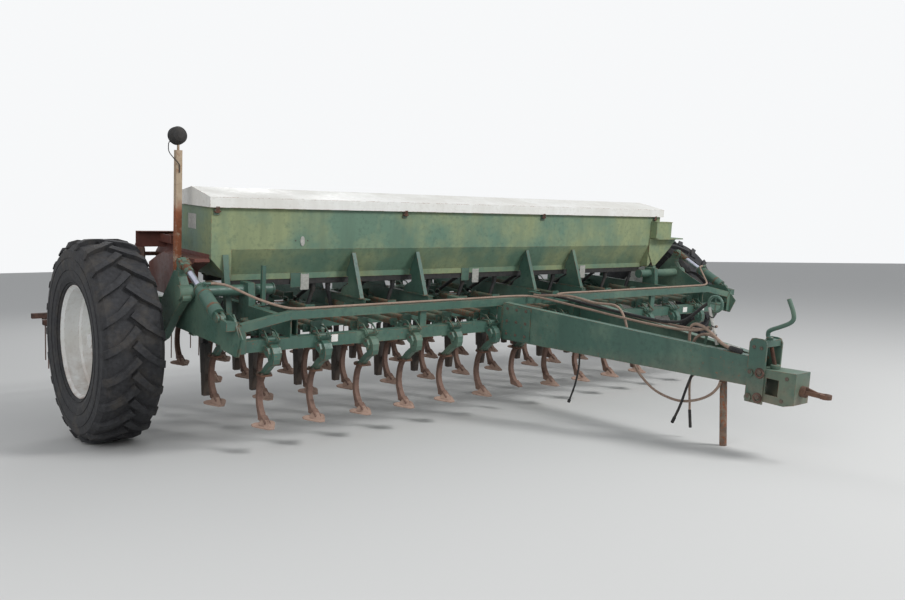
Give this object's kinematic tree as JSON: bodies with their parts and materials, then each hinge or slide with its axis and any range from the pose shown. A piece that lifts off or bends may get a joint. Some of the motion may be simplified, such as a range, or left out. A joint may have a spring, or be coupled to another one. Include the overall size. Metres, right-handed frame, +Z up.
{
  "type": "trailed tine combine seed drill",
  "caption": "Trailed seed drill with a long green hopper, white lid, rows of spring tines, two large tractor-tread tyres and an A-frame drawbar.",
  "frame": {"origin": "Centre of the machine's outer box in plan, on the ground", "axes": "+X across the machine, towards the right of the picture; -Y towards the hitch, the way the machine travels, and +Y towards the harrow; +Z up. Node names say left and right as they are seen in the picture, so left is -X."},
  "size_m": [7.57, 6.6413, 2.5245],
  "materials": {
    "green_paint": "weathered satin",
    "white_paint": "weathered satin",
    "cream_paint": "weathered satin",
    "maroon_paint": "weathered matt",
    "rusty_steel": "rusty matt",
    "earthy_steel": "rusty, worn and earthy",
    "black_steel": "matt",
    "bright_rod": "polished",
    "tyre_rubber": "worn matt",
    "black_rubber": "matt",
    "hose_rubber": "dusty matt",
    "black_plastic": "matt"
  },
  "bodies": {
    "frame": {"side_plates": "green_paint", "tool_bars": "green_paint", "frame_beams": "green_paint", "upper_rail": "green_paint", "shaft_bearings": "green_paint", "drawbar": "green_paint", "hitch_plates": "green_paint", "hitch_box": "green_paint", "hitch_screw": "green_paint", "hose_hoop": "green_paint", "hopper_shell": "green_paint", "hopper_ribs": "green_paint", "hopper_legs": "green_paint", "seed_meters": "rusty_steel", "seed_tubes": "black_rubber", "seed_boots": "black_steel", "walkway": "rusty_steel", "drive_guard": "maroon_paint", "rear_guard": "maroon_paint", "drive_sprocket": "rusty_steel", "right_end_box": "green_paint", "mast": "cream_paint", "lamp": "black_plastic", "tine_heads_front": "green_paint", "tine_heads_rear": "green_paint", "shanks_front": "earthy_steel", "shanks_rear": "earthy_steel", "marker_post": "green_paint", "hoses": "hose_rubber", "cables": "black_rubber"},
    "lid": {"lid": "white_paint"},
    "lift_left": {"lift_arm_left": "green_paint"},
    "lift_right": {"lift_arm_right": "green_paint"},
    "wheel_left": {"rim_left": "cream_paint", "tyre_left": "tyre_rubber"},
    "wheel_right": {"rim_right": "cream_paint", "tyre_right": "tyre_rubber"},
    "barrel_left": {"barrel_left": "green_paint"},
    "rod_left": {"rod_left": "bright_rod"},
    "barrel_right": {"barrel_right": "green_paint"},
    "rod_right": {"rod_right": "bright_rod"},
    "harrow": {"harrow": "rusty_steel"},
    "stand": {"stand": "rusty_steel"},
    "hitch_eye": {"hitch_eye": "rusty_steel"}
  },
  "joints": [
    {"name": "lift_left", "type": "hinge", "parent": "frame", "child": "lift_left", "pos_m": [-3.12, 0.27514, 1.20649], "axis": [1, 0, 0], "range_deg": [0, 28]},
    {"name": "lift_right", "type": "hinge", "parent": "frame", "child": "lift_right", "pos_m": [3.12, 0.27514, 1.20649], "axis": [1, 0, 0], "range_deg": [0, 28]},
    {"name": "wheel_spin_left", "type": "hinge", "parent": "lift_left", "child": "wheel_left", "pos_m": [-3.545, 0.9357, 0.815], "axis": [1, 0, 0], "continuous": true},
    {"name": "barrel_tilt_left", "type": "hinge", "parent": "frame", "child": "barrel_left", "pos_m": [-3.12, -0.36878, 1.039], "axis": [1, 0, 0], "range_deg": [0, 4]},
    {"name": "rod_slide_left", "type": "slide", "parent": "barrel_left", "child": "rod_left", "axis": [0, -0.852, -0.5235], "range_m": [0, 0.108]},
    {"name": "wheel_spin_right", "type": "hinge", "parent": "lift_right", "child": "wheel_right", "pos_m": [3.545, 0.9357, 0.815], "axis": [1, 0, 0], "continuous": true},
    {"name": "barrel_tilt_right", "type": "hinge", "parent": "frame", "child": "barrel_right", "pos_m": [3.12, -0.36878, 1.039], "axis": [1, 0, 0], "range_deg": [0, 4]},
    {"name": "rod_slide_right", "type": "slide", "parent": "barrel_right", "child": "rod_right", "axis": [0, -0.852, -0.5235], "range_m": [0, 0.108]},
    {"name": "lid_hinge", "type": "hinge", "parent": "frame", "child": "lid", "pos_m": [0, 1.07751, 1.92972], "axis": [-1, 0, 0], "range_deg": [0, 100]},
    {"name": "harrow_hinge", "type": "hinge", "parent": "frame", "child": "harrow", "pos_m": [0, 2.05829, 0.9462], "axis": [1, 0, 0], "range_deg": [0, 25]},
    {"name": "stand_slide", "type": "slide", "parent": "frame", "child": "stand", "axis": [0, 0, 1], "range_m": [0, 0.3]},
    {"name": "hitch_swivel", "type": "hinge", "parent": "frame", "child": "hitch_eye", "pos_m": [0, -3.11213, 0.49355], "axis": [0, -0.9954, -0.0958], "range_deg": [-30, 30]}
  ],
  "couplings": [
    {"joint": "lift_right", "follows": "lift_left", "ratio": 1},
    {"joint": "barrel_tilt_left", "follows": "lift_left", "ratio": 0.132},
    {"joint": "rod_slide_left", "follows": "lift_left", "m_per_rad": 0.2165},
    {"joint": "barrel_tilt_right", "follows": "lift_left", "ratio": 0.132},
    {"joint": "rod_slide_right", "follows": "lift_left", "m_per_rad": 0.2165}
  ]
}
